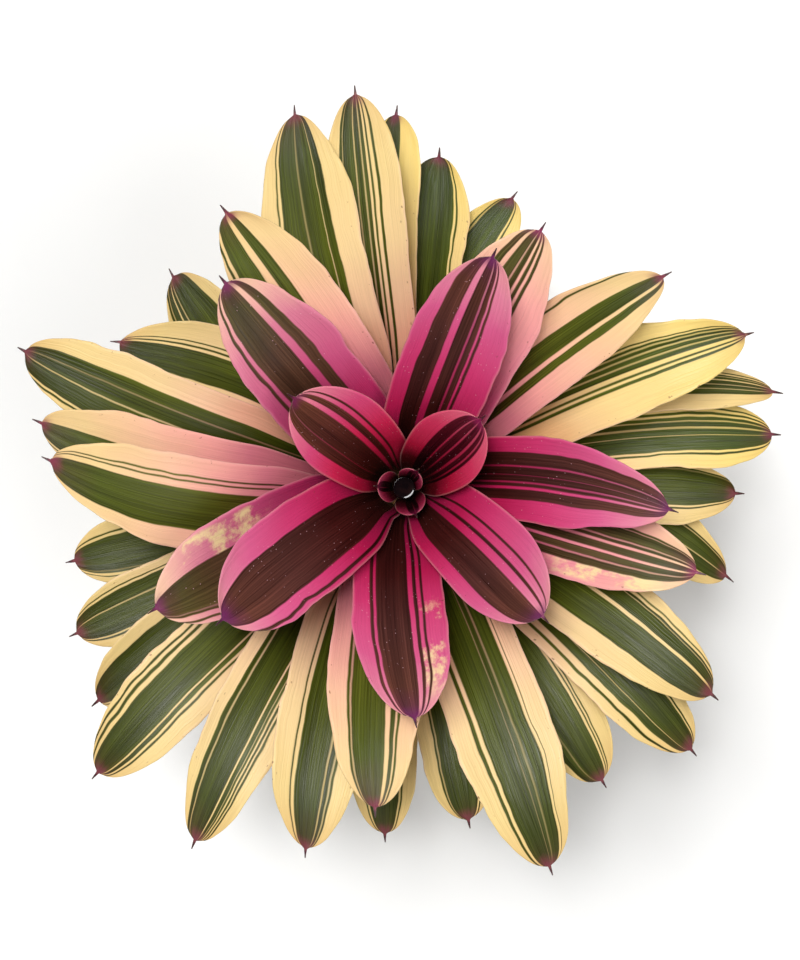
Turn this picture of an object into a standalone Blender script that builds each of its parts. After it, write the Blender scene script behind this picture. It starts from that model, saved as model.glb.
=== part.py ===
"""Potted bromeliad: a rosette of strap leaves round a water-filled cup, on a short stem in a plain pot.

Metres, +Z up. The origin is the middle of the pot's flat base, which stands on the ground.

Every leaf lies on a surface of revolution about the plant's axis. The leaves are numbered from
the innermost out, and each starts one leaf and one gap further down the round top of the stem
than the one before and leans out a little more, so leaves that cross in plan never touch.
"""

import math

import bpy
from mathutils import Vector

# Pot
POT_HEIGHT = 0.125
POT_RIM_RADIUS = 0.073
POT_RIM_HEIGHT = 0.020
POT_RIM_STEP = 0.004
POT_BASE_RADIUS = 0.052
POT_WALL = 0.002
POT_FLOOR = 0.003
POT_SEGMENTS = 44
DRAIN_HOLES = 5
DRAIN_RADIUS = 0.004
DRAIN_CIRCLE = 0.034
DRAIN_TURN = 0.2
DRAIN_SEGMENTS = 12

# Potting mix
SOIL_BELOW_RIM = 0.005
SOIL_CROWN = 0.002
SOIL_SEGMENTS = 36

# Stem
STEM_SINK = 0.014
STEM_FOOT_DEPTH = 0.016
STEM_FOOT_RADIUS = 0.030
STEM_SEGMENTS = 36
STEM_RINGS = 8

# Leaves
LEAF_THICKNESS = 0.0007
LEAF_SPACING = 0.0005
LEAF_CHANNEL = 0.004
CHANNEL_FROM = 0.025
CHANNEL_FULL = 0.095
LEAF_SPINE = 0.005
LEAF_SPINE_WIDTH = 0.0016
SPINE_TIP_SHARE = 0.25
LEAF_NECK_SHARE = 0.62
SHEATH_END = 0.14
BLADE_START = 0.07
BLADE_FULL = 0.36
LEAF_END_ROUNDNESS = 0.55
CLASP_LIMIT = math.radians(66)
ATTACH_FIRST = math.radians(4)
ATTACH_LAST = math.radians(66)
LEAN_INNER = math.radians(84)
LEAN_OUTER = math.radians(27)
CURL_INNER = math.radians(365)
CURL_OUTER = math.radians(215)
LEAN_FALL = 1.5
CURL_FALL = 2
PATH_STEP = 0.0005
STATIONS = (0, 0.06, 0.14, 0.26, 0.4, 0.56, 0.72, 0.85, 0.94)
CELLS_ACROSS = {"cup": 8, "pink": 6, "green": 4}

# Water in the cup
WATER_DEPTH = 0.020
WATER_SEGMENTS = 24
WATER_WALL_STEP = 8

GAP = 0.0003
SHARP_ANGLE = math.radians(40)

# Innermost leaf first: direction of the tip in degrees, reach of the tip from the axis in mm,
# width in mm, how far the foot of the leaf is turned from the tip in degrees, and the length
# of its tapering end as a share of its width.
CUP_LEAVES = (
    (52, 12, 27, 0, 0.6),
    (176, 15, 25, 0, 0.6),
    (-66, 16, 24, 0, 0.6),
)
PINK_LEAVES = (
    (42, 52, 48, -2, 0.7),
    (141, 71, 51, -9, 0.75),
    (-43, 92, 50, 11, 0.75),
    (-144, 108, 53, -12, 0.75),
    (69, 119, 51, 4, 1),
    (-87, 112, 49, -14, 0.85),
    (-5, 128, 45, 20, 1.5),
    (131, 132, 55, 1, 1),
    (-154, 134, 52, -7, 1),
)
GREEN_LEAVES = (
    (62, 142, 52, 5, 1.1),
    (-16, 148, 43, 0, 1.2),
    (123, 160, 48, -7, 1.3),
    (-95, 157, 49, -9, 1.2),
    (39, 164, 43, 12, 1.7),
    (175, 174, 47, 23, 1.2),
    (-34, 182, 45, 8, 1.35),
    (-69, 200, 49, 3, 1.3),
    (106, 193, 50, 13, 1.3),
    (-105, 186, 46, -12, 1.2),
    (24, 187, 44, 9, 1.5),
    (97, 199, 37, 2, 1.2),
    (-120.5, 206, 40, -9, 1.4),
    (169.5, 187, 38, 12, 1.3),
    (-42.5, 197, 41, 7, 1.2),
    (-137, 213, 42, -6, 1.2),
    (160, 206, 42, 7, 1.2),
    (14, 196, 26, 23, 1.8),
    (91, 193, 30, 7, 1.1),
    (-56, 183, 41, 4, 1),
    (-79, 176, 36, 0, 0.9),
    (8, 194, 36, 11, 1),
    (-145, 195, 36, -6, 0.9),
    (153.5, 168, 39, -20, 1.1),
    (84, 176, 35, -1, 0.9),
    (-93, 183, 36, -5, 1),
    (-1, 176, 34, 1, 1.1),
    (-156, 190, 37, 0, 0.9),
    (137, 167, 42, 16, 0.9),
    (69, 165, 36, 15, 0.9),
    (-16, 179, 34, 22, 1),
    (-167.5, 181, 38, 0, 0.9),
)
LEAVES = (
    [(f"cup_leaf_{i + 1}", *leaf) for i, leaf in enumerate(CUP_LEAVES)]
    + [(f"pink_leaf_{i + 1}", *leaf) for i, leaf in enumerate(PINK_LEAVES)]
    + [(f"green_leaf_{i + 1:02d}", *leaf) for i, leaf in enumerate(GREEN_LEAVES)]
)

SOIL_TOP = POT_HEIGHT - SOIL_BELOW_RIM
LEAF_PITCH = LEAF_THICKNESS + LEAF_SPACING
STEM_RADIUS = (len(LEAVES) - 1) * LEAF_PITCH / (ATTACH_LAST - ATTACH_FIRST)
STEM_CENTRE = SOIL_TOP - STEM_SINK
STEM_AT_SOIL = math.sqrt(STEM_RADIUS**2 - STEM_SINK**2)


def new_material(name, colour, roughness, metallic=0.0):
    material = bpy.data.materials.new(name)
    material.use_nodes = True
    shader = material.node_tree.nodes["Principled BSDF"]
    shader.inputs["Base Color"].default_value = (*colour, 1)
    shader.inputs["Roughness"].default_value = roughness
    shader.inputs["Metallic"].default_value = metallic
    return material


def new_object(name, points, faces, material):
    mesh = bpy.data.meshes.new(name)
    mesh.from_pydata(points, [], faces)
    mesh.materials.append(material)
    mesh.shade_smooth()
    mesh.set_sharp_from_angle(angle=SHARP_ANGLE)
    obj = bpy.data.objects.new(name, mesh)
    bpy.context.collection.objects.link(obj)
    return obj


def turned(name, profile, segments, material):
    """A solid turned about the Z axis from (radius, height) points, listed anticlockwise.

    A profile that starts and ends on the axis closes there in a single point each.
    """
    points = []
    rings = []
    for radius, height in profile:
        if radius == 0:
            rings.append([len(points)] * segments)
            points.append((0, 0, height))
            continue
        rings.append(list(range(len(points), len(points) + segments)))
        for k in range(segments):
            angle = 2 * math.pi * k / segments
            points.append((radius * math.cos(angle), radius * math.sin(angle), height))
    faces = []
    pairs = list(zip(rings, rings[1:]))
    if profile[0][0] and profile[-1][0]:
        pairs.append((rings[-1], rings[0]))
    for low, high in pairs:
        for k in range(segments):
            after = (k + 1) % segments
            corners = [low[k], low[after], high[after], high[k]]
            face = [c for i, c in enumerate(corners) if c not in corners[:i]]
            if len(face) > 2:
                faces.append(face)
    return new_object(name, points, faces, material)


def make_pot():
    """A tapered pot with a stepped rim and a ring of drainage holes in its flat floor."""
    rim_foot = POT_HEIGHT - POT_RIM_HEIGHT
    body_top = POT_RIM_RADIUS - POT_RIM_STEP
    rise = rim_foot / POT_HEIGHT
    body_radius = POT_BASE_RADIUS + (body_top - POT_BASE_RADIUS) * rise
    profile = (
        (0, 0),
        (POT_BASE_RADIUS, 0),
        (body_radius, rim_foot),
        (body_radius + POT_RIM_STEP, rim_foot),
        (POT_RIM_RADIUS, POT_HEIGHT),
        (POT_RIM_RADIUS - POT_WALL, POT_HEIGHT),
        (body_radius + POT_RIM_STEP - POT_WALL, rim_foot + POT_WALL),
        (body_radius - POT_WALL, rim_foot + POT_WALL),
        (POT_BASE_RADIUS - POT_WALL, POT_FLOOR),
        (0, POT_FLOOR),
    )
    plastic = new_material("pot_plastic", (0.29, 0.085, 0.04), 0.5)
    pot = turned("pot", profile, POT_SEGMENTS, plastic)
    for k in range(DRAIN_HOLES):
        angle = 2 * math.pi * (k + DRAIN_TURN) / DRAIN_HOLES
        centre = (DRAIN_CIRCLE * math.cos(angle), DRAIN_CIRCLE * math.sin(angle), 0)
        drill(pot, f"drain_cutter_{k + 1}", centre, DRAIN_RADIUS, 4 * POT_FLOOR)
    return body_radius, rim_foot


def drill(target, name, centre, radius, length):
    """A round hole through target, cut by a cylinder that isn't part of the model."""
    bpy.ops.mesh.primitive_cylinder_add(vertices=DRAIN_SEGMENTS, radius=radius, depth=length, location=centre)
    cutter = bpy.context.object
    cutter.name = name
    cutter.display_type = "WIRE"
    cutter.hide_render = True
    hole = target.modifiers.new(name, "BOOLEAN")
    hole.operation = "DIFFERENCE"
    hole.solver = "EXACT"
    hole.object = cutter


def make_soil(body_radius, rim_foot):
    """Potting mix that fills the pot, with a socket for the foot of the stem."""
    inner_top = body_radius + POT_RIM_STEP - POT_WALL - GAP
    step_top = rim_foot + POT_WALL + GAP
    step_rise = (SOIL_TOP - step_top) / (POT_HEIGHT - step_top)
    wall_top = inner_top + (POT_RIM_RADIUS - POT_WALL - GAP - inner_top) * step_rise
    profile = (
        (0, POT_FLOOR + GAP),
        (POT_BASE_RADIUS - POT_WALL - GAP, POT_FLOOR + GAP),
        (body_radius - POT_WALL - GAP, step_top),
        (inner_top, step_top),
        (wall_top, SOIL_TOP),
        (STEM_AT_SOIL + 2 * GAP, SOIL_TOP + SOIL_CROWN),
        (STEM_AT_SOIL + 2 * GAP, SOIL_TOP - 2 * GAP),
        (STEM_FOOT_RADIUS + 2 * GAP, SOIL_TOP - STEM_FOOT_DEPTH - GAP),
        (0, SOIL_TOP - STEM_FOOT_DEPTH - GAP),
    )
    mix = new_material("potting_mix", (0.035, 0.022, 0.014), 0.95)
    turned("potting_mix", profile, SOIL_SEGMENTS, mix)


def make_stem():
    """The short stem: a round top that carries the leaves and a foot that sits in the mix."""
    at_soil = math.acos(STEM_SINK / STEM_RADIUS)
    profile = [(0, SOIL_TOP - STEM_FOOT_DEPTH), (STEM_FOOT_RADIUS, SOIL_TOP - STEM_FOOT_DEPTH)]
    for k in range(STEM_RINGS):
        down = at_soil * (1 - k / STEM_RINGS)
        profile.append((STEM_RADIUS * math.sin(down), STEM_CENTRE + STEM_RADIUS * math.cos(down)))
    profile.append((0, STEM_CENTRE + STEM_RADIUS))
    bark = new_material("stem_bark", (0.16, 0.09, 0.045), 0.8)
    turned("stem", profile, STEM_SEGMENTS, bark)


def leaf_path(layer, reach):
    """Points (radius, height, lean) from the stem out to reach, for the leaf with this number."""
    share = layer / (len(LEAVES) - 1)
    attach = ATTACH_FIRST + (ATTACH_LAST - ATTACH_FIRST) * share
    lean = LEAN_OUTER + (LEAN_INNER - LEAN_OUTER) * (1 - share) ** LEAN_FALL
    curl = CURL_OUTER + (CURL_INNER - CURL_OUTER) * (1 - share) ** CURL_FALL
    start = STEM_RADIUS + GAP
    radius = start * math.sin(attach)
    height = STEM_CENTRE + start * math.cos(attach)
    path = [(radius, height, lean)]
    while radius < reach:
        radius += PATH_STEP * math.cos(lean)
        height += PATH_STEP * math.sin(lean)
        lean -= PATH_STEP * curl
        path.append((radius, height, lean))
    return path


def path_point(path, share):
    """The point at this share of the path's length."""
    place = share * (len(path) - 1)
    k = min(int(place), len(path) - 2)
    return Vector(path[k]).lerp(Vector(path[k + 1]), place - k)


def ease(low, high, value):
    x = min(max((value - low) / (high - low), 0), 1)
    return x * x * (3 - 2 * x)


def half_width(share, length, width, taper):
    """Half of the leaf's width: a broad sheath, a neck, straight sides, a tapering end, a short spine."""
    left = (1 - share) * length
    if left < LEAF_SPINE:
        return LEAF_SPINE_WIDTH / 2 * (SPINE_TIP_SHARE + (1 - SPINE_TIP_SHARE) * left / LEAF_SPINE)
    along = min((left - LEAF_SPINE) / (taper * width), 1)
    end = (1 - (1 - along) ** 2) ** LEAF_END_ROUNDNESS
    full = max(1 - ease(0, SHEATH_END, share), ease(BLADE_START, BLADE_FULL, share))
    body = LEAF_NECK_SHARE + (1 - LEAF_NECK_SHARE) * full
    return max(width / 2 * body * end, LEAF_SPINE_WIDTH / 2)


def make_leaf(layer, name, direction, reach, width, turn, taper, material):
    """A thin leaf that follows its path, channelled along the middle and clasping at its foot."""
    kind = name.split("_")[0]
    cells = CELLS_ACROSS[kind]
    across_all = [2 * c / cells - 1 for c in range(cells + 1)]
    path = leaf_path(layer, reach)
    length = PATH_STEP * (len(path) - 1)
    stations = [s * (1 - LEAF_SPINE / length) for s in STATIONS]
    stations += [1 - LEAF_SPINE / length, 1]
    sides = [[], []]
    for share in stations:
        radius, height, lean = path_point(path, share)
        half = half_width(share, length, width, taper)
        spread = CLASP_LIMIT * math.tanh(half / (radius * CLASP_LIMIT))
        middle = math.radians(direction + turn * (1 - share))
        channel = LEAF_CHANNEL * ease(CHANNEL_FROM, CHANNEL_FULL, radius) * 2 * half / width
        for across in across_all:
            angle = middle + spread * across
            up = Vector((-math.sin(lean), 0, math.cos(lean)))
            lift = channel * across**2
            for side, offset in zip(sides, (-LEAF_THICKNESS / 2, LEAF_THICKNESS / 2)):
                out, _, z = Vector((radius, 0, height)) + up * (lift + offset)
                side.append((out * math.cos(angle), out * math.sin(angle), z))
    points = sides[0] + sides[1]
    rows = len(stations)
    columns = len(across_all)
    top = rows * columns

    def at(row, column):
        return row * columns + column

    faces = []
    for r in range(rows - 1):
        for c in range(columns - 1):
            under = [at(r, c), at(r, c + 1), at(r + 1, c + 1), at(r + 1, c)]
            faces.append(under)
            faces.append([top + i for i in reversed(under)])
    outline = [at(0, c) for c in range(columns)]
    outline += [at(r, columns - 1) for r in range(1, rows)]
    outline += [at(rows - 1, c) for c in range(columns - 2, -1, -1)]
    outline += [at(r, 0) for r in range(rows - 2, 0, -1)]
    for a, b in zip(outline, outline[1:] + outline[:1]):
        faces.append([b, a, top + a, top + b])
    return new_object(name, points, faces, material)


def make_water():
    """Water standing in the cup of the innermost leaves."""
    path = leaf_path(0, LEAVES[0][2] / 1000)
    clear = LEAF_THICKNESS / 2 + LEAF_SPACING + GAP
    floor = STEM_CENTRE + STEM_RADIUS + 2 * GAP
    surface = floor + WATER_DEPTH
    wall = []
    for radius, height, lean in path:
        z = height + clear * math.cos(lean)
        if floor < z < surface:
            wall.append((radius - clear * math.sin(lean), z))
    edge = wall[-1][0]
    profile = [(0, floor), (wall[0][0], floor)]
    profile += wall[WATER_WALL_STEP:-1:WATER_WALL_STEP]
    profile += [(edge, surface), (0, surface)]
    water = new_material("cup_water", (0.01, 0.004, 0.006), 0.05)
    turned("cup_water", profile, WATER_SEGMENTS, water)


def main():
    for obj in list(bpy.data.objects):
        bpy.data.objects.remove(obj, do_unlink=True)
    make_soil(*make_pot())
    make_stem()
    tones = {
        "cup": new_material("leaf_crimson", (0.22, 0.02, 0.06), 0.4),
        "pink": new_material("leaf_pink", (0.55, 0.06, 0.24), 0.4),
        "green": new_material("leaf_green", (0.10, 0.19, 0.04), 0.4),
    }
    for layer, (name, direction, reach, width, turn, taper) in enumerate(LEAVES):
        tone = tones[name.split("_")[0]]
        make_leaf(layer, name, direction, reach / 1000, width / 1000, turn, taper, tone)
    make_water()


main()
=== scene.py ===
import math
import random

import bpy
from mathutils import Euler, Matrix, Vector, noise


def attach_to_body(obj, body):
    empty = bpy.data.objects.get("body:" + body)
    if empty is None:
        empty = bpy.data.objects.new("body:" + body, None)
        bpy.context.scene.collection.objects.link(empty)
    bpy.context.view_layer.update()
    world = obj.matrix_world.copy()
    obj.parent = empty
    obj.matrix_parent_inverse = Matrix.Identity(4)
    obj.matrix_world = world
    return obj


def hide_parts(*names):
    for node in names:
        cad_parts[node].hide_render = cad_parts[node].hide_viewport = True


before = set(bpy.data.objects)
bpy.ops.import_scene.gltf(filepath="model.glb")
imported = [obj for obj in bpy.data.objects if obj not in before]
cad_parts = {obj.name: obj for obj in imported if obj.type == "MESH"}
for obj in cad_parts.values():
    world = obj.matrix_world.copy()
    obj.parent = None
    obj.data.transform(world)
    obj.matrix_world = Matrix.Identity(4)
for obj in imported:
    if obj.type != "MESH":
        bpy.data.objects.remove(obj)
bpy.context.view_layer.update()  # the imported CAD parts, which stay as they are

print("frame loaded:", len(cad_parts), "nodes")


# A shader socket that can be used in sums; node() adds any other kind of node
class Wire:
    def __init__(self, tree, socket=None):
        self.tree = tree
        self.socket = socket

    def node(self, kind, settings=None, inputs=None, output=0):
        made = self.tree.nodes.new("ShaderNode" + kind)
        for key, value in (settings or {}).items():
            if key == "stops":
                setStops(made.color_ramp, value)
            else:
                setattr(made, key, value)
        for key, value in (inputs or {}).items():
            if isinstance(value, Wire):
                self.tree.links.new(value.socket, made.inputs[key])
            else:
                made.inputs[key].default_value = value
        return Wire(self.tree, made.outputs[output])

    def other(self, output):
        return Wire(self.tree, self.socket.node.outputs[output])

    def maths(self, operation, *values):
        return self.node("Math", {"operation": operation}, dict(enumerate(values)))

    def __add__(self, value):
        return self.maths("ADD", self, value)

    def __radd__(self, value):
        return self.maths("ADD", value, self)

    def __sub__(self, value):
        return self.maths("SUBTRACT", self, value)

    def __rsub__(self, value):
        return self.maths("SUBTRACT", value, self)

    def __mul__(self, value):
        return self.maths("MULTIPLY", self, value)

    def __rmul__(self, value):
        return self.maths("MULTIPLY", value, self)


def paint(hexCode):
    # a screen colour such as F3DFA2 as the linear colour that shaders use
    values = [int(hexCode[i:i + 2], 16) / 255 for i in (0, 2, 4)]
    linear = [v / 12.92 if v <= 0.04045 else ((v + 0.055) / 1.055) ** 2.4 for v in values]
    return (*linear, 1)


def grey(level):
    return (level, level, level, 1)


def setStops(ramp, stops):
    # stops are (place, colour), with the places rising from 0 to 1
    while len(ramp.elements) > 1:
        ramp.elements.remove(ramp.elements[-1])
    ramp.elements[0].position = stops[0][0]
    ramp.elements[0].color = stops[0][1]
    for place, colour in stops[1:]:
        ramp.elements.new(place).color = colour


def newFinish(name, **fixed):
    # a material whose shader has these sockets set; returns it with a wire to build on
    material = bpy.data.materials.new(name)
    material.use_nodes = True
    shader = material.node_tree.nodes["Principled BSDF"]
    for key, value in fixed.items():
        shader.inputs[socketNames[key]].default_value = value
    return material, Wire(material.node_tree)


socketNames = {
    "colour": "Base Color",
    "roughness": "Roughness",
    "coat": "Coat Weight",
    "coatRoughness": "Coat Roughness",
    "specular": "Specular IOR Level",
    "index": "IOR",
    "normal": "Normal",
}


def feed(material, **wires):
    # links wires into the shader
    shader = material.node_tree.nodes["Principled BSDF"]
    for key, wire in wires.items():
        material.node_tree.links.new(wire.socket, shader.inputs[socketNames[key]])


def mixed(factor, first, second, mode="MIX"):
    # a colour mix, on whichever of the three values is a wire
    wire = next(value for value in (factor, first, second) if isinstance(value, Wire))
    settings = {"data_type": "RGBA", "blend_type": mode, "clamp_factor": True}
    return wire.node("Mix", settings, {0: factor, 6: first, 7: second}, 2)


def spread(wire, low, high, smooth=True):
    # 0 below low, 1 above high
    kind = "SMOOTHSTEP" if smooth else "LINEAR"
    return wire.node("MapRange", {"interpolation_type": kind},
                     {0: wire, 1: low, 2: high, 3: 0.0, 4: 1.0})


def swing(mask, amount):
    # a brightness that runs from amount below 1 to amount above it
    return mask * (2 * amount) + (1 - amount)


def clouds(wire, place, scale, detail=2.0, roughness=0.5):
    # soft noise from 0 to 1
    return wire.node("TexNoise", None, {"Vector": place, "Scale": scale, "Detail": detail,
                                        "Roughness": roughness})


def stretched(wire, place, scale, move=(0, 0, 0)):
    return wire.node("Mapping", None, {"Vector": place, "Scale": scale, "Location": move})


def bumped(wire, height, distance, strength=1.0):
    return wire.node("Bump", None, {"Height": height, "Distance": distance, "Strength": strength})


def selectOnly(obj=None):
    for other in bpy.context.selected_objects:
        other.select_set(False)
    if obj:
        obj.select_set(True)
        bpy.context.view_layer.objects.active = obj


def applyModifier(obj, kind, **settings):
    selectOnly(obj)
    made = obj.modifiers.new(kind.title(), kind)
    for key, value in settings.items():
        setattr(made, key, value)
    bpy.ops.object.modifier_apply(modifier=made.name)


def settle(obj):
    # puts the object's place, turn and size into its mesh
    selectOnly(obj)
    bpy.ops.object.transform_apply(location=True, rotation=True, scale=True)


def keepPiece(obj, finish, slot, *nodes):
    # hands a finished piece over, in place of the CAD nodes that it replaces
    obj.data.materials.clear()
    obj.data.materials.append(finish)
    settle(obj)
    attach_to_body(obj, "root")
    if nodes:
        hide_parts(*nodes)


def ease(low, high, value):
    x = min(max((value - low) / (high - low), 0), 1)
    return x * x * (3 - 2 * x)


view = {"height": 1.10, "x": -0.002, "y": 0.004, "lens": 67.8, "sensor": 36, "near": 0.01}


def makeCamera():
    # straight down on the rosette
    selectOnly()
    bpy.ops.object.camera_add(location=(view["x"], view["y"], view["height"]), rotation=(0, 0, 0))
    camera = bpy.context.object
    camera.data.lens = view["lens"]
    camera.data.sensor_width = view["sensor"]
    camera.data.clip_start = view["near"]
    bpy.context.scene.camera = camera


studio = {
    "floorSize": 14,
    "floorTone": "FAFAF9",
    "floorShade": "D8D8D6",
    "floorClouding": 0.06,
    "sky": 0.24,  # light from all round
    "skyShine": 0.06,  # how bright the surroundings are in reflections
    "backdrop": 0.93,  # how pale the distance looks
    "aim": (0, 0, 0.15),  # where the lamps point
    "lamps": (  # kind, place, strength, width in metres for a disc or degrees for a sun
        ("SUN", (-0.50, 0.62, 1.90), 1.65, 24),
        ("SUN", (1.05, -0.60, 1.70), 0.95, 40),
        ("AREA", (-0.20, 0.25, 2.20), 13, 0.4),
    ),
}


def makeStudio():
    selectOnly()
    bpy.ops.mesh.primitive_plane_add(size=studio["floorSize"])
    floor = bpy.context.object
    floor.name = "floor"
    finish, wire = newFinish("paleFloor", roughness=0.7, specular=0.2)
    place = wire.node("TexCoord").other(3)
    tone = clouds(wire, place, 1.5)
    shade = tone * studio["floorClouding"]
    feed(finish, colour=mixed(shade, paint(studio["floorTone"]), paint(studio["floorShade"])))
    floor.data.materials.append(finish)
    for kind, place, strength, width in studio["lamps"]:
        bpy.ops.object.light_add(type=kind, location=place)
        lamp = bpy.context.object
        lamp.data.energy = strength
        if kind == "SUN":
            lamp.data.angle = math.radians(width)
        else:
            lamp.data.shape = "DISK"
            lamp.data.size = width
        toPlant = Vector(studio["aim"]) - lamp.location
        lamp.rotation_euler = toPlant.to_track_quat("-Z", "Y").to_euler()
    world = bpy.data.worlds.new("softRoom")
    bpy.context.scene.world = world
    world.use_nodes = True
    background = world.node_tree.nodes["Background"]
    background.inputs["Color"].default_value = (1, 1, 1, 1)
    seen = Wire(world.node_tree).node("LightPath")
    mirrored = seen.other(3)
    strength = seen * (studio["backdrop"] - studio["sky"]) + studio["sky"]
    strength = strength - mirrored * (studio["sky"] - studio["skyShine"])
    world.node_tree.links.new(strength.socket, background.inputs["Strength"])
    bpy.context.scene.view_settings.view_transform = "Standard"


makeCamera()
makeStudio()
print("camera, lamps and floor ready")


# Pale and green tissue along a leaf, from its foot (0) to its tip (1), and the tint of the tip
# Towards the foot the tones darken, partly the leaves' own colour and partly painted shade deep in
# the rosette and its cup
tones = {
    "cup": {
        "pale": ((0, "140204"), (0.5, "4A0A18"), (0.72, "982444"), (0.88, "CC5474"), (1, "DC7088")),
        "green": ((0, "0A0102"), (0.6, "1A0306"), (1, "3E0816")),
        "tip": "6A1236",
    },
    "rose": {
        "pale": ((0, "1C0205"), (0.32, "500812"), (0.5, "B4183C"),
                 (0.72, "D63860"), (0.9, "E2647E"), (1, "EA8E98")),
        "green": ((0, "100203"), (0.4, "220408"), (0.75, "420A14"), (1, "581626")),
        "tip": "8A2050",
    },
    "crimson": {
        "pale": ((0, "3E0510"), (0.38, "A61538"), (0.55, "D62A56"),
                 (0.75, "DE5080"), (0.9, "EC8098"), (1, "F0A0A0")),
        "green": ((0, "1C0404"), (0.4, "38100A"), (0.7, "532A20"), (1, "5A3424")),
        "tip": "761E50",
    },
    "magenta": {
        "pale": ((0, "5E0A28"), (0.4, "BA1E52"), (0.58, "D03A70"),
                 (0.78, "D65C8A"), (0.9, "DE829A"), (1, "E8A296")),
        "green": ((0, "200706"), (0.4, "381310"), (0.68, "4B2924"),
                  (0.88, "563026"), (1, "602A40")),
        "tip": "6C2258",
    },
    "blush": {
        "pale": ((0, "7A1238"), (0.42, "BE3266"), (0.6, "CE5682"),
                 (0.78, "DA7C94"), (0.92, "EEB6A2"), (1, "ECC69C")),
        "green": ((0, "240C08"), (0.45, "42281C"), (0.7, "523728"),
                  (0.88, "4A401E"), (1, "5C3030")),
        "tip": "7C2C5C",
    },
    "peach": {
        "pale": ((0, "86203C"), (0.44, "D85A82"), (0.6, "F0909E"),
                 (0.78, "F5AAA2"), (0.92, "F4C6A0"), (1, "EEC292")),
        "green": ((0, "280E06"), (0.48, "3E2A18"), (0.66, "4E3E24"),
                  (0.86, "4C4A22"), (1, "5A382C")),
        "tip": "90345C",
    },
    "apricot": {
        "pale": ((0, "9A4050"), (0.36, "DE7E8C"), (0.5, "F4A49C"),
                 (0.66, "F5BE9E"), (0.86, "EECC90"), (1, "E4BE80")),
        "green": ((0, "201206"), (0.4, "3E340E"), (0.6, "4E5216"), (0.85, "464E10"), (1, "4C3E20")),
        "tip": "86304A",
    },
    "cream": {
        "pale": ((0, "B07058"), (0.34, "EEAE90"), (0.46, "F6C8A0"),
                 (0.6, "F4D29A"), (0.84, "EACC89"), (1, "DEB876")),
        "green": ((0, "161802"), (0.36, "383D08"), (0.56, "484F0E"),
                  (0.72, "454C0D"), (0.88, "3A410A"), (1, "423616")),
        "tip": "7C3844",
    },
    "lemon": {
        "pale": ((0, "B07A50"), (0.34, "E4AC78"), (0.46, "F2CA90"),
                 (0.6, "F4D48E"), (0.84, "F2D47E"), (1, "E2C06C")),
        "green": ((0, "161A02"), (0.36, "383F08"), (0.56, "45500F"),
                  (0.72, "434E0E"), (0.88, "38440C"), (1, "403A18")),
        "tip": "762E44",
    },
}

# How the rosette grows: the same surfaces as the CAD leaves, in metres and degrees
growth = {
    "pitch": 0.0012,  # from each leaf's foot to the next, along the stem
    "gap": 0.0003,
    "centreHeight": 0.106,  # the middle of the round stem top
    "attach": (4, 66),  # where the innermost and outermost leaves sit, down from the top
    "lean": (84, 27, 1.5),  # innermost, outermost, how fast it falls
    "curl": (365, 215, 2),  # how fast a leaf bends down, in degrees a metre
    "step": 0.0005,
    "clasp": 66,  # how far round the stem a foot may wrap, to each side
}
leafShape = {
    "thickness": 0.0007,
    "channel": 0.004,  # how far the edges rise over the middle
    "channelFrom": 0.025,
    "channelFull": 0.095,
    "spine": 0.005,
    "spineWidth": 0.0016,
    "spinePoint": 0.25,  # what is left of that width at the very tip
    "neck": 0.62,
    "sheathEnd": 0.14,
    "blade": (0.07, 0.36),
    "endRoundness": 0.55,
    "cellsAcross": 24,
    "cellsAlong": 84,
    "tipCrowding": 1.5,
    "stripeFlow": 0.33,  # how much the stripes run out into the round end
    "ripple": 0.0021,  # height of the waves along the edges
    "rippleLength": 0.031,
    "edgeWander": 0.1,  # how far the edges stray, as a share of the half width
    "wanderBroad": 1.3,
    "wanderFine": 4.3,
    "fineShare": 0.4,
    "freeFrom": (0.4, 0.7),  # where along the leaf the edges begin to wave
    "freeTo": (0.93, 1),  # and where they stop
    "leastWaved": 0.1,  # leaves that reach no further than this keep plain edges
    "edgeThin": 0.55,  # how much thinner the edges are
    "thinnest": 0.3,  # and the least they keep
}

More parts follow.
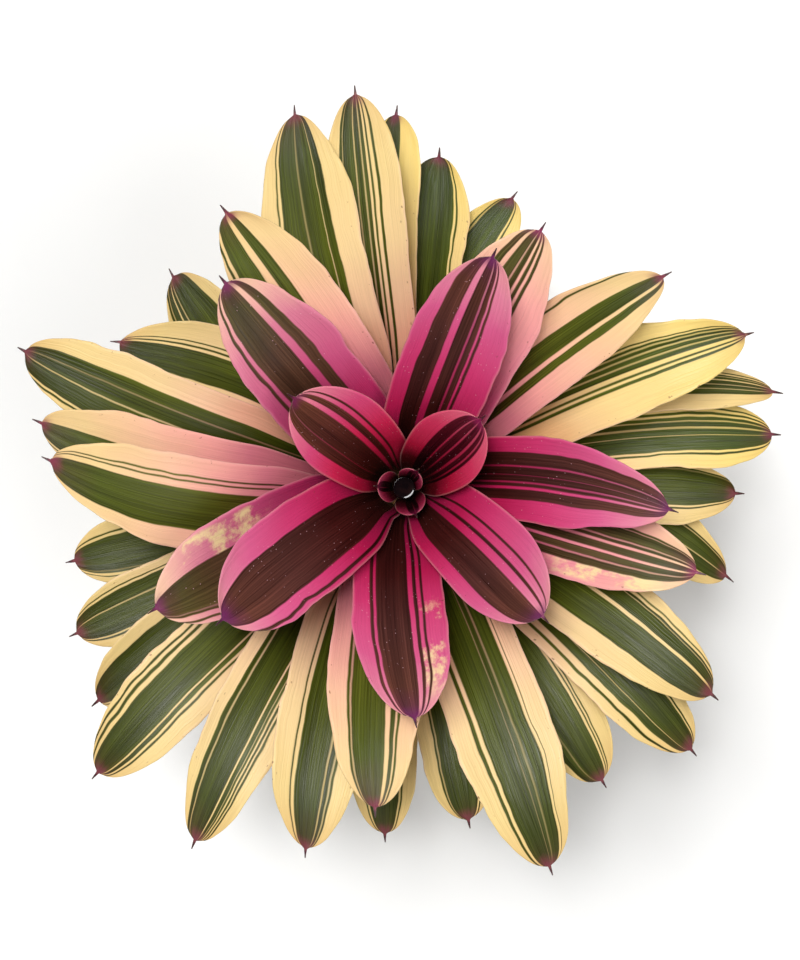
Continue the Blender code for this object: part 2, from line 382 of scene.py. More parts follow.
# Each leaf, innermost first: direction of the tip in degrees, reach and width in mm, turn of the
# foot in degrees, length of the tapering end in widths, tone, and its stripes in percent of the
# width from the left edge, seen from the middle of the plant: c pale, h half pale, f faint, g green
leaves = {
    "cup_leaf_1": (52, 12, 27, 0, 0.6, "cup", "c30 g14 h2 g10 h2 g12 c30"),
    "cup_leaf_2": (176, 15, 25, 0, 0.6, "cup", "c34 g12 h2 g18 c34"),
    "cup_leaf_3": (-66, 16, 24, 0, 0.6, "cup", "c32 g14 h2 g18 c34"),
    "pink_leaf_1": (42, 52, 48, -2, 0.7, "rose", "c26 g14 h2 g9 h2 g9 h3 g6 h2 g4 c23"),
    "pink_leaf_2": (141, 71, 51, -9, 0.75, "crimson", "c18 g12 f1 g25 c6 g8 c5 g3 c22"),
    "pink_leaf_3": (-43, 92, 50, 11, 0.75, "magenta", "c26 g3 c9 g4 c9 g33 c16"),
    "pink_leaf_4": (-144, 108, 53, -12, 0.75, "magenta", "c5 g4 c12 g51 c28"),
    "pink_leaf_5": (69, 119, 51, 4, 1, "magenta", "c19 g20 c7 g12 h2 g6 c2 g3 c29"),
    "pink_leaf_6": (-87, 112, 49, -14, 0.85, "magenta", "c22 g3 c4 g4 c5 g35 c3 g4 c20"),
    "pink_leaf_7": (-5, 128, 45, 20, 1.5, "magenta", "c20 g16 h2 g9 f1 g7 h2 g4 c3 g12 c24"),
    "pink_leaf_8": (131, 132, 55, 1, 1, "blush", "c16 g4 c4 g32 c7 g11 c26"),
    "pink_leaf_9": (-154, 134, 52, -7, 1, "blush", "c9 g3 c6 g3 f2 g43 c34"),
    "green_leaf_01": (62, 142, 52, 5, 1.1, "peach", "c20 g9 c6 g12 h2 g6 c3 g4 c3 g4 c31"),
    "green_leaf_02": (-16, 148, 43, 0, 1.2, "peach", "c20 g3 h1 g13 h2 g4 c3 g9 c3 g8 h2 g9 c23"),
    "green_leaf_03": (123, 160, 48, -7, 1.3, "apricot", "c8 g3 c4 g24 c8 g13 c40"),
    "green_leaf_04": (-95, 157, 49, -9, 1.2, "apricot", "c23 g3 c2 g5 c5 g36 h2 g3 c21"),
    "green_leaf_05": (39, 164, 43, 12, 1.7, "apricot", "c9 g3 c25 g22 c5 g10 c26"),
    "green_leaf_06": (175, 174, 47, 23, 1.2, "apricot", "c21 g45 c7 g2 c3 g2 c20"),
    "green_leaf_07": (-34, 182, 45, 8, 1.35, "cream", "c12 g2 c3 g3 h1 g16 c4 g35 c24"),
    "green_leaf_08": (-69, 200, 49, 3, 1.3, "cream", "c19 g1 c3 g14 f2 g5 f1 g27 c4 g4 c20"),
    "green_leaf_09": (106, 193, 50, 13, 1.3, "cream", "c19 g2 c3 g22 f2 g18 h1 g8 c25"),
    "green_leaf_10": (-105, 186, 46, -12, 1.2, "cream", "c25 g3 h2 g5 h2 g34 c4 g2 c23"),
    "green_leaf_11": (24, 187, 44, 9, 1.5, "lemon", "c21 g2 c2 g3 h2 g4 h2 g5 h2 g6 c5 g3 c3 g4 c36"),
    "green_leaf_12": (97, 199, 37, 2, 1.2, "cream", "c19 g4 h1 g16 h2 g8 h2 g5 c3 g3 c5 g4 c28"),
    "green_leaf_13": (-120.5, 206, 40, -9, 1.4, "cream", "c18 g3 c2 g3 c2 g3 h1 g6 c2 g35 h2 g6 c17"),
    "green_leaf_14": (169.5, 187, 38, 12, 1.3, "apricot", "c12 g2 c3 g43 c40"),
    "green_leaf_15": (-42.5, 197, 41, 7, 1.2, "cream", "c22 g3 c2 g37 h1 g11 c8 g4 c12"),
    "green_leaf_16": (-137, 213, 42, -6, 1.2, "cream", "c20 g3 c3 g6 c2 g43 c5 g4 c4 g3 c7"),
    "green_leaf_17": (160, 206, 42, 7, 1.2, "cream", "c8 g3 c3 g26 h2 g16 f2 g14 c26"),
    "green_leaf_18": (14, 196, 26, 23, 1.8, "cream", "c14 g3 c4 g4 h2 g6 c3 g9 h2 g8 h2 g11 c32"),
    "green_leaf_19": (91, 193, 30, 7, 1.1, "lemon", "c14 g3 c3 g44 c36"),
    "green_leaf_20": (-56, 183, 41, 4, 1, "cream", "c22 g2 c2 g2 c3 g38 f2 g13 c16"),
    "green_leaf_21": (-79, 176, 36, 0, 0.9, "cream", "c18 g3 c3 g50 h2 g3 c21"),
    "green_leaf_22": (8, 194, 36, 11, 1, "lemon", "c14 g3 c4 g4 c3 g5 h2 g7 h3 g9 h1 g22 c3 g3 c17"),
    "green_leaf_23": (-145, 195, 36, -6, 0.9, "cream", "c22 g3 c4 g52 c19"),
    "green_leaf_24": (153.5, 168, 39, -20, 1.1, "cream", "c16 g40 c4 g3 c4 g2 c31"),
    "green_leaf_25": (84, 176, 35, -1, 0.9, "lemon", "c6 g2 c4 g66 c3 g3 c16"),
    "green_leaf_26": (-93, 183, 36, -5, 1, "cream", "c20 g3 c3 g48 c3 g3 c20"),
    "green_leaf_27": (-1, 176, 34, 1, 1.1, "cream", "c11 g3 f2 g55 c3 g3 c23"),
    "green_leaf_28": (-156, 190, 37, 0, 0.9, "cream", "c20 g3 c2 g38 h2 g19 c3 g2 c11"),
    "green_leaf_29": (137, 167, 42, 16, 0.9, "cream", "c12 g4 h2 g10 c2 g6 h2 g42 c20"),
    "green_leaf_30": (69, 165, 36, 15, 0.9, "lemon", "c20 g3 h3 g44 c3 g3 c24"),
    "green_leaf_31": (-16, 179, 34, 22, 1, "cream", "c20 g3 h2 g26 h2 g24 c23"),
    "green_leaf_32": (-167.5, 181, 38, 0, 0.9, "cream", "c14 g2 c4 g3 f2 g50 c4 g3 c18"),
}
# Sun-bleached patches: how strong, and between which shares of the width
blotches = {
    "pink_leaf_6": (0.75, 0.02, 0.34),
    "pink_leaf_9": (0.8, 0.6, 0.98),
    "green_leaf_02": (0.8, 0.66, 0.98),
}
leafNames = list(leaves)
attachSpan = math.radians(growth["attach"][1] - growth["attach"][0])
stemRadius = (len(leaves) - 1) * growth["pitch"] / attachSpan


def leafPath(layer, reach):
    # (radius, height, lean) from the stem out to reach
    share = layer / (len(leaves) - 1)
    first, last = growth["attach"]
    attach = math.radians(first + (last - first) * share)
    inner, outer, fall = growth["lean"]
    lean = math.radians(outer + (inner - outer) * (1 - share) ** fall)
    inner, outer, fall = growth["curl"]
    curl = math.radians(outer + (inner - outer) * (1 - share) ** fall)
    start = stemRadius + growth["gap"]
    radius = start * math.sin(attach)
    height = growth["centreHeight"] + start * math.cos(attach)
    path = [(radius, height, lean)]
    while radius < reach:
        radius += growth["step"] * math.cos(lean)
        height += growth["step"] * math.sin(lean)
        lean -= growth["step"] * curl
        path.append((radius, height, lean))
    return path


def pathPoint(path, share):
    # the point at this share of the path
    place = share * (len(path) - 1)
    k = min(int(place), len(path) - 2)
    return Vector(path[k]).lerp(Vector(path[k + 1]), place - k)


def taperedEnd(share, length, width, taper):
    # 1 along the blade, then down to 0 at the foot of the spine
    left = (1 - share) * length
    along = min(max((left - leafShape["spine"]) / (taper * width), 0), 1)
    return (1 - (1 - along) ** 2) ** leafShape["endRoundness"]


def halfWidth(share, length, width, taper):
    # broad sheath, neck, straight sides, tapering end and short spine
    left = (1 - share) * length
    if left < leafShape["spine"]:
        point = leafShape["spinePoint"]
        return leafShape["spineWidth"] / 2 * (point + (1 - point) * left / leafShape["spine"])
    full = max(1 - ease(0, leafShape["sheathEnd"], share), ease(*leafShape["blade"], share))
    body = leafShape["neck"] + (1 - leafShape["neck"]) * full
    half = width / 2 * body * taperedEnd(share, length, width, taper)
    return max(half, leafShape["spineWidth"] / 2)


def growLeaf(layer, node):
    # a grid laid on the leaf's own surface, with soft waves along its edges, then thickened
    direction, reach, width, turn, taper = leaves[node][:5]
    reach /= 1000
    width /= 1000
    path = leafPath(layer, reach)
    length = growth["step"] * (len(path) - 1)
    clasp = math.radians(growth["clasp"])
    selectOnly()
    bpy.ops.mesh.primitive_grid_add(x_subdivisions=leafShape["cellsAcross"],
                                    y_subdivisions=leafShape["cellsAlong"], size=1)
    leaf = bpy.context.object
    leaf.name = "leaf_" + node.replace("_leaf_", "_")
    thick = leaf.vertex_groups.new(name="thickness")
    chart = []
    for vertex in leaf.data.vertices:
        x, y, _ = vertex.co
        across = -2 * x
        share = 1 - (0.5 - y) ** leafShape["tipCrowding"]
        radius, height, lean = pathPoint(path, share)
        half = halfWidth(share, length, width, taper)
        free = ease(*leafShape["freeFrom"], share) * (1 - ease(*leafShape["freeTo"], share))
        free *= reach > leafShape["leastWaved"]
        edge = Vector((share * length / leafShape["rippleLength"], across, layer * 3.7))
        broad = noise.noise(edge * leafShape["wanderBroad"])
        fine = noise.noise(edge * leafShape["wanderFine"])
        half *= 1 + leafShape["edgeWander"] * free * (broad + leafShape["fineShare"] * fine)
        angle = clasp * math.tanh(half / (radius * clasp)) * across
        angle += math.radians(direction + turn * (1 - share))
        lift = leafShape["channel"] * 2 * half / width * across ** 2
        lift *= ease(leafShape["channelFrom"], leafShape["channelFull"], radius)
        lift += leafShape["ripple"] * free * noise.noise(edge) * abs(across) ** 3
        out = radius - math.sin(lean) * lift
        up = height + math.cos(lean) * lift
        vertex.co = (out * math.cos(angle), out * math.sin(angle), up)
        flow = taperedEnd(share, length, width, taper) ** leafShape["stripeFlow"]
        chart.append((0.5 + x * flow, share))
        thick.add([vertex.index], 1 - leafShape["edgeThin"] * abs(across) ** 4, "REPLACE")
    leafMap = leaf.data.uv_layers.active
    leafMap.name = "leafMap"
    for loop in leaf.data.loops:
        leafMap.data[loop.index].uv = chart[loop.vertex_index]
    topCount = len(leaf.data.vertices)
    applyModifier(leaf, "SOLIDIFY", thickness=leafShape["thickness"], offset=0,
                  vertex_group="thickness", thickness_vertex_group=leafShape["thinnest"])
    side = leaf.data.attributes.new("underside", "FLOAT", "POINT")
    for k in range(topCount, len(leaf.data.vertices)):
        side.data[k].value = 1
    leaf.data.shade_smooth()
    finish = paintLeaf(node, layer, length)
    keepPiece(leaf, finish, node.split("_")[0] + "_leaf", node)


stripes = {
    "levels": {"c": 1.0, "h": 0.6, "f": 0.25, "g": 0.0},
    "slope": 0.006,  # how soft a stripe's edge is, as a share of the leaf's width
    "slopePart": 0.3,  # and at most this part of the stripe
    "mostStops": 30,  # a ramp holds 32, and the two ends are added
}


def stripeStops(spec):
    # the stripes as ramp stops, each edge a short slope
    levels = stripes["levels"]
    bands = [(levels[word[0]], float(word[1:])) for word in spec.split()]
    total = sum(width for _, width in bands)
    stops = []
    place = 0
    for (level, width), (after, nextWidth) in zip(bands, bands[1:]):
        place += width / total
        part = stripes["slopePart"]
        slope = min(stripes["slope"], part * width / total, part * nextWidth / total)
        stops.append((place - slope, grey(level)))
        stops.append((place + slope, grey(after)))
    return [(0, stops[0][1])] + stops[:stripes["mostStops"]] + [(1, stops[-1][1])]


leafPaint = {
    "specular": 0.22,
    "wander": 0.014,  # how far a stripe strays
    "toneStray": (0.12, 0.05),  # how far the tones stray along the leaf, broadly and finely
    "veinDark": 0.4,  # how much darker and lighter the veins make the green
    "bandDark": 0.24,  # and the broad bands
    "paleVein": (0.1, 0.93),  # what the veins add to the pale tissue's brightness, and its least
    "blotch": "F8E6A4",
    "blotchFrom": (0.5, 0.62),  # where along the leaf the bleached patches begin
    "blotchTo": (0.84, 0.94),  # and where they end
    "blotchSide": 0.06,
    # the edge tone is a painted highlight: a thin paler line along the very edges
    "edge": ("F4C0B8", 0.22),  # a tone and how strong it is, as below
    "speck": ("7A3A28", 0.7),
    "scale": ("F6C0C8", 0.6),
    "tipLength": 0.0058,
    "tipTint": 0.85,
    "spine": ("3A2026", 0.85),
    "spineLength": 0.0042,
    "underside": ("8E9A78", 0.4),
    "roughness": (0.26, 0.14, 0.2),  # of smooth tissue, and what veins and the underside add
    "bump": (0.00035, 0.5),  # depth and strength
}
# How fine each pattern is across and along a leaf, then the noise's detail and roughness
leafPatterns = {
    "drift": ((2.2, 3.5, 1), 1.0, 0.5),
    "veins": ((75, 2.4, 1), 2.0, 0.6),
    "mottle": ((7, 16, 1), 3.0, 0.6),
    "bands": ((8, 1.1, 1), 1.0, 0.5),
    "flecks": ((13, 34, 1), 4.0, 0.7),
    "groups": ((2, 7, 1), 1.0, 0.5),
    "specks": ((26, 70, 1), 1.0, 0.5),
    "chance": ((6, 9, 1), 2.0, 0.5),
}
scaleDots = (24, 60, 1)  # and how fine the pale scales on the pink leaves are


def paintLeaf(node, layer, length):
    # stripes across the leaf, tones along it, fine veins, specks, and the tinted tip
    tone = tones[leaves[node][5]]
    finish, wire = newFinish(node.replace("_", " ") + " paint", specular=leafPaint["specular"])
    chart = wire.node("UVMap", {"uv_map": "leafMap"})
    parts = wire.node("SeparateXYZ", None, {0: chart})
    across = parts.other(0)
    along = parts.other(1)
    move = (layer * 1.31, layer * 0.77, layer * 2.3)

    def pattern(name):
        scale, detail, roughness = leafPatterns[name]
        return clouds(wire, stretched(wire, chart, scale, move), 1.0, detail, roughness)

    def ramp(place, stops):
        return wire.node("ValToRGB", {"stops": stops}, {0: place})

    def tinted(mask, colour, tint):
        return mixed(mask * tint[1], colour, paint(tint[0]))

    drift = pattern("drift")
    mottle = pattern("mottle")
    broad, fine = leafPaint["toneStray"]
    run = along + (drift - 0.5) * broad + (mottle - 0.5) * fine
    # these ramps carry painted shade towards the foot as well as the tissue's own tones
    paleTone = ramp(run, [(place, paint(code)) for place, code in tone["pale"]])
    greenTone = ramp(run, [(place, paint(code)) for place, code in tone["green"]])
    vein = spread(pattern("veins"), 0.3, 0.7, False)
    bands = spread(pattern("bands"), 0.3, 0.7)
    greenTone = mixed(1.0, greenTone, swing(vein, leafPaint["veinDark"]), "MULTIPLY")
    greenTone = mixed(1.0, greenTone, swing(bands, leafPaint["bandDark"]), "MULTIPLY")
    added, least = leafPaint["paleVein"]
    paleTone = mixed(1.0, paleTone, vein * added + least, "MULTIPLY")
    if node in blotches:
        strength, low, high = blotches[node]
        side = leafPaint["blotchSide"]
        patch = spread(pattern("flecks") * 0.4 + pattern("groups") * 0.6, 0.47, 0.61)
        patch = patch * spread(along, *leafPaint["blotchFrom"])
        patch = patch * (1 - spread(along, *leafPaint["blotchTo"]))
        patch = patch * spread(across, low, low + side) * (1 - spread(across, high - side, high))
        paleTone = mixed(patch * strength, paleTone, paint(leafPaint["blotch"]))
    pale = ramp(across + (drift - 0.5) * leafPaint["wander"], stripeStops(leaves[node][6]))
    colour = mixed(pale, greenTone, paleTone)
    aside = wire.maths("ABSOLUTE", across - 0.5)  # 0 in the middle, 0.5 at the edges
    # painted highlight: a thin paler line along the leaf's very edges
    colour = tinted(spread(aside, 0.47, 0.5), colour, leafPaint["edge"])
    speck = spread(aside, 0.36, 0.5) * spread(pattern("specks"), 0.71, 0.76)
    colour = tinted(speck, colour, leafPaint["speck"])
    if node.startswith("pink"):
        place = stretched(wire, chart, scaleDots, move)
        dots = wire.node("TexVoronoi", None, {"Vector": place, "Scale": 1.0})
        dot = (1 - spread(dots, 0.06, 0.13)) * spread(pattern("chance"), 0.48, 0.62)
        colour = tinted(dot, colour, leafPaint["scale"])
    tipShare = leafPaint["tipLength"] / length
    tip = spread(along + (mottle - 0.5) * tipShare, 1 - 2 * tipShare, 1 - 0.8 * tipShare)
    tip = tip * (1 - spread(aside, 0.1, 0.3) * 0.85)
    colour = tinted(tip, colour, (tone["tip"], leafPaint["tipTint"]))
    spineShare = leafPaint["spineLength"] / length
    spine = spread(along, 1 - 1.1 * spineShare, 1 - 0.6 * spineShare)
    colour = tinted(spine, colour, leafPaint["spine"])
    under = wire.node("Attribute", {"attribute_name": "underside"}, None, 2)
    colour = tinted(under, colour, leafPaint["underside"])
    smooth, veined, duller = leafPaint["roughness"]
    distance, strength = leafPaint["bump"]
    feed(finish, colour=colour, roughness=vein * veined + smooth + under * duller,
         normal=bumped(wire, vein * 0.6 + mottle * 0.4, distance, strength))
    return finish


for layer, node in enumerate(leafNames):
    growLeaf(layer, node)
print("leaves grown:", len(leaves))


def lathe(name, profile, segments):
    # a closed turned solid: a disc extruded ring by ring through (radius, height), up the outside
    # and down the inside, ending in a flat disc
    selectOnly()
    radius, height = profile[0]
    bpy.ops.mesh.primitive_circle_add(vertices=segments, radius=radius, fill_type="NGON",
                                      location=(0, 0, height))
    turned = bpy.context.object
    turned.name = name
    settle(turned)
    bpy.ops.object.mode_set(mode="EDIT")
    bpy.ops.mesh.select_all(action="SELECT")
    for nextRadius, nextHeight in profile[1:]:
        rise = (0, 0, nextHeight - height)
        bpy.ops.mesh.extrude_region_move(TRANSFORM_OT_translate={"value": rise})
        ratio = nextRadius / radius
        bpy.ops.transform.resize(value=(ratio, ratio, 1), center_override=(0, 0, nextHeight))
        radius = nextRadius
        height = nextHeight
    bpy.ops.mesh.select_all(action="SELECT")
    bpy.ops.mesh.normals_make_consistent(inside=False)
    bpy.ops.object.mode_set(mode="OBJECT")
    return turned


pot = {
    "height": 0.125,
    "rimRadius": 0.073,
    "rimHeight": 0.020,
    "rimStep": 0.004,
    "baseRadius": 0.052,
    "wall": 0.002,
    "floor": 0.003,
    "foot": 0.0012,  # how far the bottom is raised inside its foot ring
    "footRing": (0.045, 0.0465),
    "ribs": (0.0925, 0.0965),
    "ribStandsOut": 0.0007,
    "holes": 5,
    "holeRadius": 0.004,
    "holeCircle": 0.034,
    "holeTurn": 0.2,
    "sides": 128,
    "holeSides": 32,
    "smoothBelow": 32,  # degrees between faces
    "tone": "A4502E",
    "shade": "8A3F24",
    "limescale": "CBB7A2",
    "splash": "5A3524",
}


def potProfile():
    # from the foot ring up the outside, over the lip and down the inside to the floor
    base = pot["baseRadius"]
    rim = pot["rimRadius"]
    top = pot["height"]
    wall = pot["wall"]
    rimFoot = top - pot["rimHeight"]
    slope = (rim - pot["rimStep"] - base) / top
    body = base + slope * rimFoot
    collar = body + pot["rimStep"]
    inner, outer = pot["footRing"]
    profile = [(inner, pot["foot"]), (outer, 0), (base - 0.0012, 0), (base, 0.0012)]
    profile += [(base + slope * z, z) for z in (0.006, 0.03, 0.06, 0.09)]
    for z in pot["ribs"]:
        at = base + slope * z
        ridge = at + pot["ribStandsOut"]
        profile += [(at, z), (ridge, z + 0.0006), (ridge, z + 0.0014), (at, z + 0.002)]
    profile += [(body, rimFoot), (collar - 0.001, rimFoot + 0.0002), (collar, rimFoot + 0.0012)]
    rise = (rim - collar) / pot["rimHeight"]
    profile += [(collar + rise * 0.0155, rimFoot + 0.0155)]
    profile += [(collar + rise * 0.0162, rimFoot + 0.0165)]
    profile += [(rim - 0.0001, top - 0.0012), (rim - 0.0006, top - 0.0003), (rim - 0.001, top)]
    profile += [(rim - wall + 0.0002, top - 0.0003), (rim - wall, top - 0.001)]
    profile += [(collar - wall, rimFoot + wall), (body - wall, rimFoot + wall - 0.0004)]
    return profile + [(base - wall, pot["floor"])]


def makePot():
    made = lathe("potBody", potProfile(), pot["sides"])
    for k in range(pot["holes"]):
        angle = 2 * math.pi * (k + pot["holeTurn"]) / pot["holes"]
        place = (pot["holeCircle"] * math.cos(angle), pot["holeCircle"] * math.sin(angle), 0)
        selectOnly()
        bpy.ops.mesh.primitive_cylinder_add(vertices=pot["holeSides"], radius=pot["holeRadius"],
                                            depth=0.03, location=place)
        cutter = bpy.context.object
        applyModifier(made, "BOOLEAN", operation="DIFFERENCE", solver="EXACT", object=cutter)
        bpy.data.objects.remove(cutter, do_unlink=True)
    selectOnly(made)
    bpy.ops.object.shade_smooth_by_angle(angle=math.radians(pot["smoothBelow"]))
    finish, wire = newFinish("mouldedPlastic", specular=0.4)
    place = wire.node("TexCoord").other(3)
    height = wire.node("SeparateXYZ", None, {0: place}).other(2)
    cloud = clouds(wire, place, 28, 4.0, 0.6)
    grain = clouds(wire, place, 1400, 2.0)
    streak = clouds(wire, stretched(wire, place, (1, 1, 0.12)), 160, 3.0)
    colour = mixed(spread(cloud, 0.35, 0.7) * 0.35, paint(pot["tone"]), paint(pot["shade"]))
    limescale = spread(streak, 0.58, 0.72) * (1 - spread(height, 0.0, 0.05)) * 0.35
    colour = mixed(limescale, colour, paint(pot["limescale"]))
    splash = spread(height, 0.117, 0.124) * spread(cloud, 0.45, 0.62) * 0.5
    colour = mixed(splash, colour, paint(pot["splash"]))
    feed(finish, colour=colour, roughness=cloud * 0.2 + 0.42,
         normal=bumped(wire, grain, 0.00006, 0.5))
    keepPiece(made, finish, "pot_plastic", "pot")


makePot()
print("pot made")


soil = {
    "top": 0.120,
    "crown": 0.002,  # how much higher it stands against the stem
    "crownReach": (0.046, 0.068),
    "rough": 0.0012,  # how far crumbs stand out
    "crumbFineness": 180,
    "settled": 0.0004,
    "wall": ((0.0490, 0.0034), (0.0635, 0.1065), (0.0672, 0.1075)),
    "edge": 0.0697,
    "stemEdge": 0.044,
    "socket": (0.031, 0.1036),
    "rings": 26,
    "sides": 144,
    "tones": ("1E140D", "4A3323"),
    "damp": "140D09",
}


def soilHeight(x, y):
    # the surface, a little higher against the stem
    radius = math.hypot(x, y)
    rise = soil["crown"] * (1 - ease(*soil["crownReach"], radius))
    rough = noise.fractal(Vector((x, y, 0)) * soil["crumbFineness"], 0.8, 2.0, 3)
    return soil["top"] + rise - soil["settled"] + soil["rough"] * rough


def makeSoil():
    # up the pot's wall, over the top in rings, and down into the stem's socket
    edge = soil["edge"]
    inner = soil["stemEdge"]
    rings = soil["rings"]
    profile = [*soil["wall"], (edge, soil["top"] - 0.001)]
    profile += [(edge + (inner - edge) * k / rings, soil["top"]) for k in range(1, rings + 1)]
    profile += [soil["socket"]]
    made = lathe("soilBody", profile, soil["sides"])
    for vertex in made.data.vertices:
        x, y, z = vertex.co
        if z > soil["top"] - 0.0005:
            vertex.co.z = soilHeight(x, y)
    made.data.shade_smooth()
    finish, wire = newFinish("pottingMix", specular=0.2)
    place = wire.node("TexCoord").other(3)
    crumbs = clouds(wire, place, 420, 4.0, 0.65)
    damp = clouds(wire, place, 45, 2.0)
    dark, light = soil["tones"]
    colour = mixed(spread(crumbs, 0.35, 0.65), paint(dark), paint(light))
    colour = mixed(spread(damp, 0.45, 0.65) * 0.5, colour, paint(soil["damp"]))
    feed(finish, colour=colour, roughness=damp * 0.2 + 0.75,
         normal=bumped(wire, crumbs, 0.0008, 0.8))
    keepPiece(made, finish, "potting_mix", "potting_mix")


topping = {
    "seed": 11,
    "ring": (0.0485, 0.0655),  # the open soil, by radius
    "tilt": 0.5,
    "lift": 0.12,  # how far a piece stands clear, as a share of its size
    "dent": 0.22,
    "chips": 210,
    "chipSizes": (0.003, 0.0075),
    "chipShape": (1.0, 0.55, 0.22),
    "chipTones": ("2C1A10", "6E4528", "8C6038"),
    "perlite": 70,
    "perliteSizes": (0.0012, 0.0028),
    "perliteTones": ("A89E8E", "E6E1D6"),
}


def scatter(name, count, build, sizes, dice):
    # copies one small shape over the open soil and joins the copies
    model = build()
    copies = []
    for k in range(count):
        radius = dice.uniform(*topping["ring"])
        angle = dice.uniform(0, 2 * math.pi)
        x = radius * math.cos(angle)
        y = radius * math.sin(angle)
        size = dice.uniform(*sizes)
        copy = model.copy()
        copy.data = model.data.copy()
        bpy.context.collection.objects.link(copy)
        tilt = topping["tilt"]
        turn = Euler((dice.uniform(-tilt, tilt), dice.uniform(-tilt, tilt), dice.uniform(0, 6.28)))
        height = soilHeight(x, y) + size * topping["lift"]
        copy.matrix_world = (Matrix.Translation((x, y, height)) @ turn.to_matrix().to_4x4()
                             @ Matrix.Diagonal((size, size, size, 1)))
        for vertex in copy.data.vertices:
            shift = noise.noise_vector(vertex.co * 1.7 + Vector((k * 3.1, 0, 0)))
            vertex.co += shift * topping["dent"]
        copies.append(copy)
    bpy.data.objects.remove(model, do_unlink=True)
    selectOnly(copies[0])
    for copy in copies:
        copy.select_set(True)
    bpy.ops.object.join()
    joined = bpy.context.object
    joined.name = name
    settle(joined)
    return joined


def chipModel():
    # a flat splinter of bark with broken corners
    selectOnly()
    bpy.ops.mesh.primitive_cube_add(size=1)
    chip = bpy.context.object
    bpy.ops.object.mode_set(mode="EDIT")
    bpy.ops.mesh.select_all(action="SELECT")
    bpy.ops.transform.resize(value=topping["chipShape"])
    bpy.ops.mesh.subdivide(number_cuts=1)
    bpy.ops.object.mode_set(mode="OBJECT")
    applyModifier(chip, "BEVEL", width=0.05, segments=1)
    return chip


def crumbModel():
    # one round grain, which scatter dents
    selectOnly()
    bpy.ops.mesh.primitive_ico_sphere_add(subdivisions=2, radius=0.5)
    return bpy.context.object


def makeTopping():
    dice = random.Random(topping["seed"])
    noise.seed_set(topping["seed"])  # noise_vector would otherwise differ from run to run
    chips = scatter("barkChips", topping["chips"], chipModel, topping["chipSizes"], dice)
    selectOnly(chips)
    bpy.ops.object.shade_smooth_by_angle(angle=math.radians(35))
    finish, wire = newFinish("barkChip", specular=0.25)
    place = wire.node("TexCoord").other(3)
    fibres = clouds(wire, stretched(wire, place, (1, 0.25, 1)), 900, 3.0, 0.6)
    patch = clouds(wire, place, 120, 1.0)
    dark, light, fresh = topping["chipTones"]
    colour = mixed(spread(fibres, 0.35, 0.65), paint(dark), paint(light))
    colour = mixed(spread(patch, 0.5, 0.62) * 0.6, colour, paint(fresh))
    feed(finish, colour=colour, roughness=fibres * 0.2 + 0.68,
         normal=bumped(wire, fibres, 0.0003, 0.7))
    keepPiece(chips, finish, "potting_mix")
    grains = scatter("perlite", topping["perlite"], crumbModel, topping["perliteSizes"], dice)
    grains.data.shade_smooth()
    finish, wire = newFinish("perliteGrain", specular=0.3)
    place = wire.node("TexCoord").other(3)
    pores = clouds(wire, place, 1600, 3.0, 0.7)
    dark, light = topping["perliteTones"]
    colour = mixed(spread(pores, 0.3, 0.6), paint(dark), paint(light))
    feed(finish, colour=colour, roughness=pores * 0.1 + 0.8,
         normal=bumped(wire, pores, 0.0003, 0.8))
    keepPiece(grains, finish, "potting_mix")


makeSoil()
makeTopping()
print("potting mix made")


stem = {
    "foot": 0.104,
    "footRadius": 0.030,
    "sink": 0.014,  # from the middle of the round top up to the soil
    "scars": 9,
    "scarDepth": 0.0007,
    "ringsPerScar": 4,
    "knobFineness": 160,
    "knobDepth": 0.0006,
    "sides": 96,
    "tones": ("3A2414", "8A6238"),
}


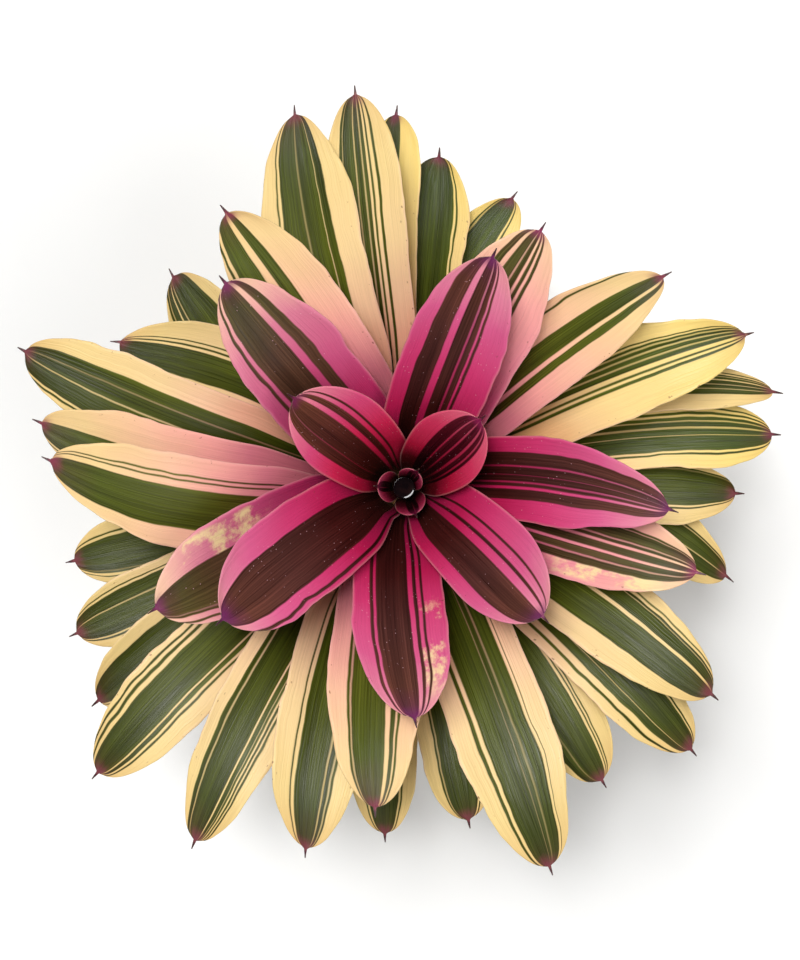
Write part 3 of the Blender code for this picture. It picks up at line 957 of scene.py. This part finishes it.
def makeStem():
    # the round top that carries the leaves, ringed with old leaf scars
    atSoil = math.acos(stem["sink"] / stemRadius)
    profile = [(stem["footRadius"], stem["foot"])]
    steps = stem["scars"] * stem["ringsPerScar"]
    for k in range(steps):
        down = atSoil * (1 - k / steps)
        scar = abs(math.sin(math.pi * k / stem["ringsPerScar"]))
        radius = stemRadius - stem["scarDepth"] * scar
        profile.append((radius * math.sin(down), growth["centreHeight"] + radius * math.cos(down)))
    made = lathe("stemBody", profile, stem["sides"])
    made.data.shade_smooth()
    middle = Vector((0, 0, growth["centreHeight"]))
    for vertex in made.data.vertices:
        inward = 0.5 + 0.5 * noise.noise(vertex.co * stem["knobFineness"])
        vertex.co -= (vertex.co - middle).normalized() * inward * stem["knobDepth"]
    finish, wire = newFinish("stemBark", specular=0.3)
    place = wire.node("TexCoord").other(3)
    fibre = clouds(wire, stretched(wire, place, (1, 1, 0.3)), 480, 4.0, 0.6)
    dark, light = stem["tones"]
    colour = mixed(spread(fibre, 0.35, 0.65), paint(dark), paint(light))
    feed(finish, colour=colour, roughness=fibre * 0.2 + 0.65,
         normal=bumped(wire, fibre, 0.0005, 0.7))
    keepPiece(made, finish, "stem", "stem")


water = {
    "depth": 0.020,
    "clear": 0.0005,  # how far it keeps from the leaves
    "meniscus": 0.00009,
    "wallStep": 4,  # it follows every fourth point of the innermost leaf
    "rings": 7,
    "ringStep": 0.06,
    "sides": 64,
    # near black: painted shade of the deep cup seen through the water, put on an opaque surface
    "tones": ("0B0406", "26100F"),
}


def makeWater():
    # still water in the cup, which creeps up a little where it meets the leaves
    path = leafPath(0, leaves[leafNames[0]][1] / 1000)
    clear = leafShape["thickness"] / 2 + water["clear"] + growth["gap"]
    floor = growth["centreHeight"] + stemRadius + 2 * growth["gap"]
    surface = floor + water["depth"]
    wall = []
    for radius, height, lean in path[::water["wallStep"]]:
        z = height + clear * math.cos(lean)
        if floor < z < surface:
            wall.append((radius - clear * math.sin(lean), z))
    edge = wall[-1][0]
    profile = [(wall[0][0], floor)] + wall[1:-1] + [(edge, surface + water["meniscus"])]
    rings = water["rings"]
    for k in range(1, rings + 1):
        rise = water["meniscus"] * (1 - k / rings) ** 3
        profile.append((edge * (1 - water["ringStep"] * k), surface + rise))
    made = lathe("cupWater", profile, water["sides"])
    made.data.shade_smooth()
    finish, wire = newFinish("darkWater", coat=0.1, coatRoughness=0.02, specular=0.4, index=1.33)
    place = wire.node("TexCoord").other(3)
    haze = clouds(wire, place, 260, 2.0)
    dark, light = water["tones"]
    # painted shade: the water is opaque and near black, for the dark depth of the cup below it
    colour = mixed(spread(haze, 0.4, 0.8) * 0.5, paint(dark), paint(light))
    feed(finish, colour=colour, roughness=haze * 0.04 + 0.03,
         normal=bumped(wire, haze, 0.0001, 0.03))
    keepPiece(made, finish, "cup_water", "cup_water")


makeStem()
makeWater()
print("stem and water made")

print("done")
